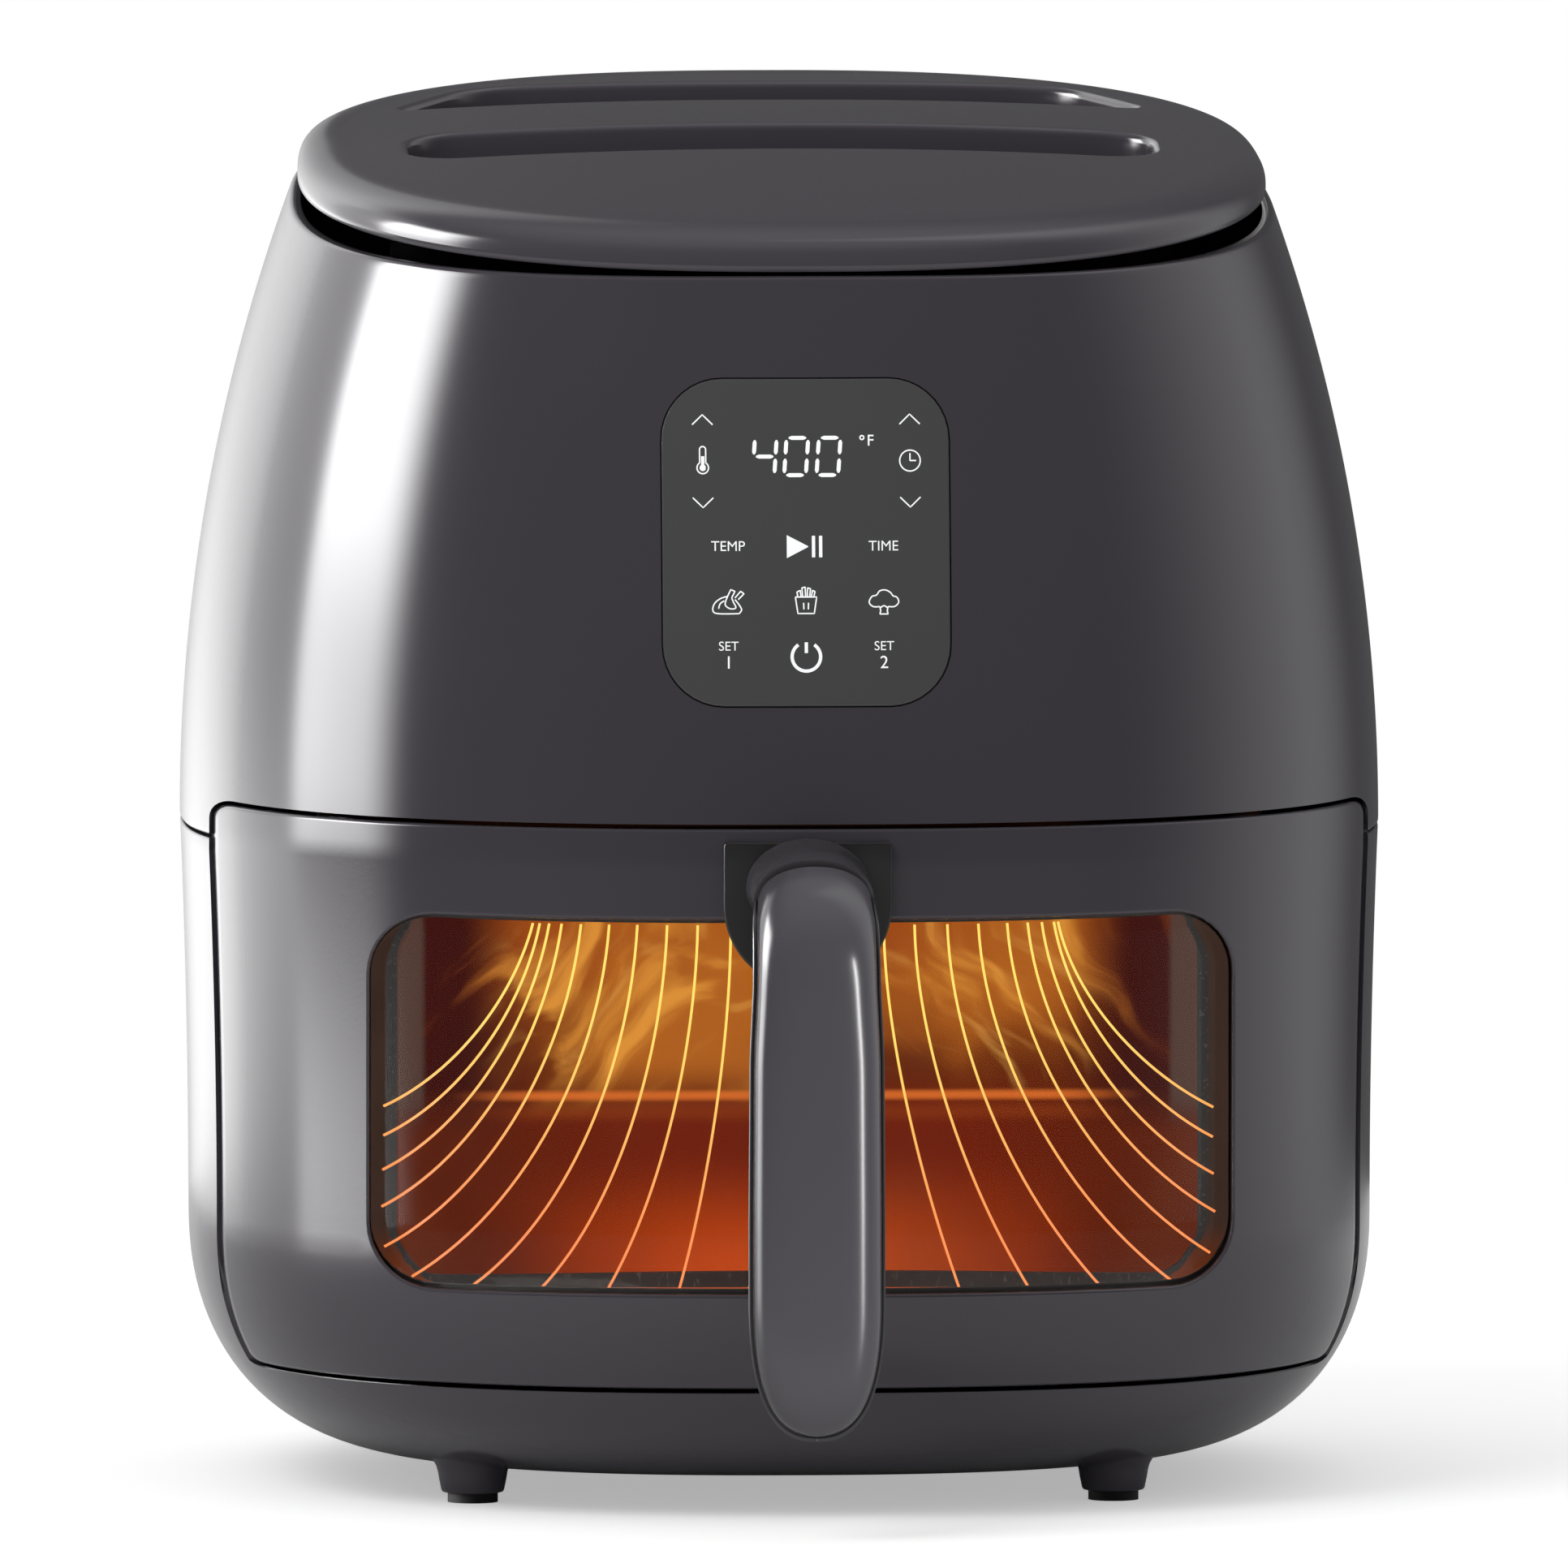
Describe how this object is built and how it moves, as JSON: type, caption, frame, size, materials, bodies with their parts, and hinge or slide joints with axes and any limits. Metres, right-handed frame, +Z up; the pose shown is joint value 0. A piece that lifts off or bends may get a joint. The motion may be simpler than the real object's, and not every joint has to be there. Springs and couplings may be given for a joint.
{
  "type": "air fryer",
  "caption": "Rounded window air fryer with a pull-out glazed drawer, vertical handle, touch panel and a carrying grip in its sloping top cover.",
  "frame": {"origin": "middle of the whole part's box, handle included, on the table", "axes": "+Z up, -Y the way the drawer pulls out, +X to the right when facing the drawer from the front"},
  "size_m": [0.286, 0.356, 0.3293],
  "materials": {
    "body_plastic": "glossy warm grey moulded plastic",
    "cover_plastic": "glossy warm grey moulded plastic",
    "tub_plastic": "glossy dark plastic",
    "black_plastic": "fine grained black plastic",
    "vent_plastic": "fine grained black plastic",
    "liner_plastic": "satin black plastic",
    "bracket_plastic": "satin near-black plastic",
    "handle_plastic": "glossy warm grey plastic",
    "handle_back_plastic": "glossy warm grey plastic",
    "panel_glass": "tinted touch panel with lit print",
    "red_plastic": "satin red plastic",
    "foot_rubber": "matte black rubber",
    "gland_rubber": "matte black rubber",
    "gasket_rubber": "black silicone rubber",
    "screw_steel": "zinc plated steel",
    "chamber_steel": "galvanised sheet steel",
    "guard_steel": "plated steel",
    "rail_steel": "brushed stainless steel",
    "element_steel": "oxidised heating tube",
    "motor_steel": "plated motor can",
    "fan_aluminium": "pressed aluminium",
    "ceramic": null,
    "circuit_board": "green solder mask",
    "window_glass": "clear tempered glass lit amber from inside",
    "inner_glass": "clear tempered glass lit amber from inside",
    "clear_glass": "clear glass",
    "lamp_glass": "frosted warm bulb",
    "nonstick": "dark nonstick coating"
  },
  "bodies": {
    "housing": {"upper_housing": "body_plastic", "lower_housing": "body_plastic", "top_cover": "cover_plastic", "grip_tub": "tub_plastic", "base_plate": "black_plastic", "foot_pads": "foot_rubber", "base_screws": "screw_steel", "front_frame": "black_plastic", "touch_panel": "panel_glass", "panel_frame": "black_plastic", "control_board": "circuit_board", "display_module": "black_plastic", "cooking_chamber": "chamber_steel", "chamber_roof": "chamber_steel", "bay_floor": "chamber_steel", "drawer_rails": "rail_steel", "heating_element": "element_steel", "element_insulators": "ceramic", "element_clips": "chamber_steel", "element_guard": "guard_steel", "temperature_sensor": "rail_steel", "thermal_fuse": "ceramic", "lamp_holder": "chamber_steel", "lamp_bulb": "lamp_glass", "lamp_lens": "clear_glass", "motor_bracket": "chamber_steel", "motor": "motor_steel", "motor_screws": "screw_steel", "exhaust_duct": "chamber_steel", "rear_vent_grille": "vent_plastic", "power_board": "circuit_board", "power_components": "black_plastic", "drawer_switch": "black_plastic", "cord_inlet": "gland_rubber"},
    "drawer": {"drawer_front": "body_plastic", "drawer_liner": "liner_plastic", "window_glass": "window_glass", "window_gasket": "gasket_rubber", "inner_pane": "inner_glass", "pane_retainer": "nonstick", "pan": "nonstick", "pan_screws": "screw_steel", "handle_bracket": "bracket_plastic", "handle_front_shell": "handle_plastic", "handle_back_shell": "handle_back_plastic", "handle_screws": "screw_steel"},
    "crisper": {"crisper_plate": "nonstick", "crisper_legs": "nonstick", "crisper_bumpers": "gasket_rubber"},
    "fan": {"motor_shaft": "rail_steel", "fan_impeller": "fan_aluminium", "fan_nut": "screw_steel", "cooling_fan": "black_plastic"},
    "plunger": {"switch_plunger": "red_plastic"}
  },
  "joints": [
    {"name": "drawer_slide", "type": "slide", "parent": "housing", "child": "drawer", "axis": [0, -1, 0], "range_m": [0, 0.27]},
    {"name": "crisper_lift", "type": "slide", "parent": "drawer", "child": "crisper", "axis": [0, 0, 1], "range_m": [0, 0.106]},
    {"name": "fan_spin", "type": "hinge", "parent": "housing", "child": "fan", "pos_m": [0, 0.04, 0.2], "axis": [0, 0, 1], "continuous": true},
    {"name": "switch_press", "type": "slide", "parent": "housing", "child": "plunger", "axis": [0, 1, 0], "range_m": [0, 0.002], "stiffness_N_per_m": 150}
  ]
}
